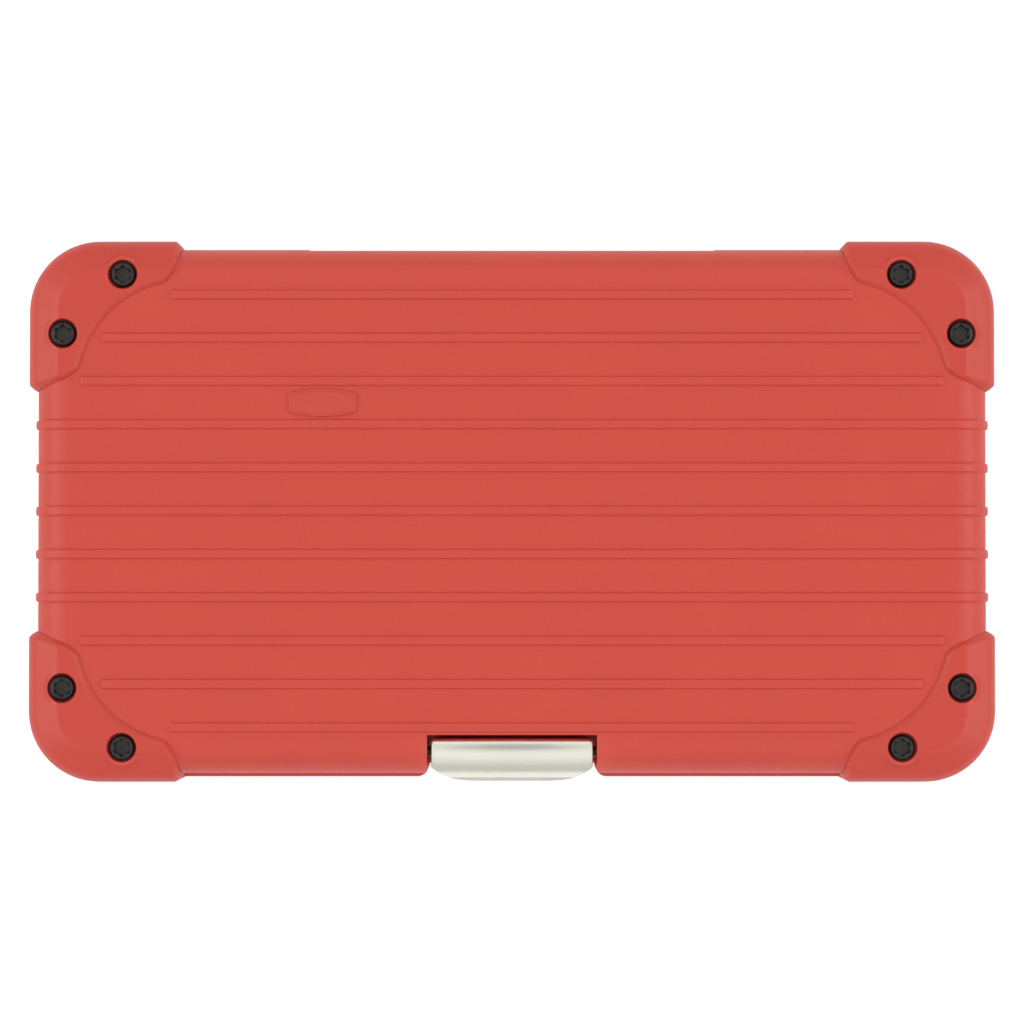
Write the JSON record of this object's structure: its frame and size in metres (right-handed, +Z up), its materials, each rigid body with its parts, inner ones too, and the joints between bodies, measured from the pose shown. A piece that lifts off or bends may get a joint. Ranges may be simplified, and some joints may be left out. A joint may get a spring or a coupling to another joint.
{
  "type": "socket wrench set in case",
  "caption": "Quarter inch drive socket and bit set with ratchet, driver handle, extensions and universal joint, in a hinged, ribbed hard case with corner guards and a swing latch.",
  "frame": {"origin": "centre of the closed case's bounding box, on the plane that it stands on", "axes": "+X to the right along the case's length, +Y towards the hinge, +Z up through the lid"},
  "size_m": [0.24, 0.1344, 0.046],
  "materials": {
    "case_red": "satin moulded shell",
    "guard_red": "satin moulded corner guard",
    "screw_black": "black oxide",
    "insert_brass": "machined",
    "pin_steel": "turned",
    "latch_metal": "brushed",
    "foam_black": "soft foam",
    "tray_black": "fine grained",
    "grip_black": "soft matt",
    "driver_grip": "fine grained",
    "tool_chrome": "satin chrome",
    "dark_steel": "phosphated"
  },
  "bodies": {
    "case": {"base_shell": "case_red", "base_guard_front_left": "guard_red", "base_guard_front_right": "guard_red", "base_guard_back_left": "guard_red", "base_guard_back_right": "guard_red", "base_guard_screws": "screw_black", "base_guard_inserts": "insert_brass", "hinge_pins": "pin_steel", "tray_tools": "tray_black", "tray_sockets": "tray_black", "tray_bits": "tray_black", "ratchet_handle": "tool_chrome", "ratchet_grip": "grip_black", "ratchet_cover": "tool_chrome", "ratchet_cover_screws": "dark_steel", "ratchet_detent": "dark_steel", "driver_grip": "driver_grip", "driver_shaft": "tool_chrome", "driver_ball": "dark_steel", "long_extension": "tool_chrome", "long_extension_ball": "dark_steel", "short_extension": "tool_chrome", "short_extension_ball": "dark_steel", "joint_socket_fork": "tool_chrome", "bit_holder": "tool_chrome", "bit_holder_magnet": "dark_steel", "socket_4mm": "tool_chrome", "socket_5mm": "tool_chrome", "socket_5_5mm": "tool_chrome", "socket_6mm": "tool_chrome", "socket_7mm": "tool_chrome", "socket_8mm": "tool_chrome", "socket_9mm": "tool_chrome", "socket_10mm": "tool_chrome", "socket_11mm": "tool_chrome", "socket_12mm": "tool_chrome", "socket_13mm": "tool_chrome", "socket_14mm": "tool_chrome", "bits_phillips": "dark_steel", "bits_slotted": "dark_steel", "bits_hex": "dark_steel", "bits_torx": "dark_steel"},
    "lid": {"lid_shell": "case_red", "lid_guard_front_left": "guard_red", "lid_guard_front_right": "guard_red", "lid_guard_back_left": "guard_red", "lid_guard_back_right": "guard_red", "lid_guard_screws": "screw_black", "lid_guard_inserts": "insert_brass", "latch_pin": "pin_steel", "lid_foam": "foam_black"},
    "latch": {"latch": "latch_metal"},
    "ratchet_drive": {"ratchet_drive": "tool_chrome", "ratchet_drive_ball": "dark_steel"},
    "ratchet_button": {"ratchet_button": "tool_chrome"},
    "ratchet_pawl": {"ratchet_pawl": "dark_steel"},
    "ratchet_lever": {"ratchet_lever": "tool_chrome"},
    "joint_cross": {"joint_cross": "dark_steel"},
    "joint_drive": {"joint_drive_fork": "tool_chrome", "joint_ball": "dark_steel"}
  },
  "joints": [
    {"name": "lid_hinge", "type": "hinge", "parent": "case", "child": "lid", "pos_m": [0, 0.0646, 0.023], "axis": [-1, 0, 0], "range_deg": [0, 100]},
    {"name": "latch_hinge", "type": "hinge", "parent": "lid", "child": "latch", "pos_m": [0, -0.0596, 0.0392], "axis": [-1, 0, 0], "range_deg": [0, 100]},
    {"name": "ratchet_spin", "type": "hinge", "parent": "case", "child": "ratchet_drive", "pos_m": [-0.09, 0.044, 0.0212], "axis": [0, 0, 1], "continuous": true},
    {"name": "button_press", "type": "slide", "parent": "ratchet_drive", "child": "ratchet_button", "axis": [0, 0, -1], "range_m": [0, 0.0015], "stiffness_N_per_m": 400, "springref_m": -0.0004},
    {"name": "lever_turn", "type": "hinge", "parent": "case", "child": "ratchet_lever", "pos_m": [-0.0775, 0.044, 0.0212], "axis": [0, 0, 1], "range_deg": [-25, 25]},
    {"name": "pawl_rock", "type": "hinge", "parent": "case", "child": "ratchet_pawl", "pos_m": [-0.0775, 0.044, 0.0212], "axis": [0, 0, 1], "range_deg": [-6, 6]},
    {"name": "joint_swing", "type": "hinge", "parent": "case", "child": "joint_cross", "pos_m": [0.071, 0.044, 0.021], "axis": [0, 0, 1], "range_deg": [-28, 28]},
    {"name": "joint_tilt", "type": "hinge", "parent": "joint_cross", "child": "joint_drive", "pos_m": [0.071, 0.044, 0.021], "axis": [0, 1, 0], "range_deg": [-28, 28]}
  ],
  "couplings": [
    {"joint": "pawl_rock", "follows": "lever_turn", "ratio": 0.24}
  ]
}
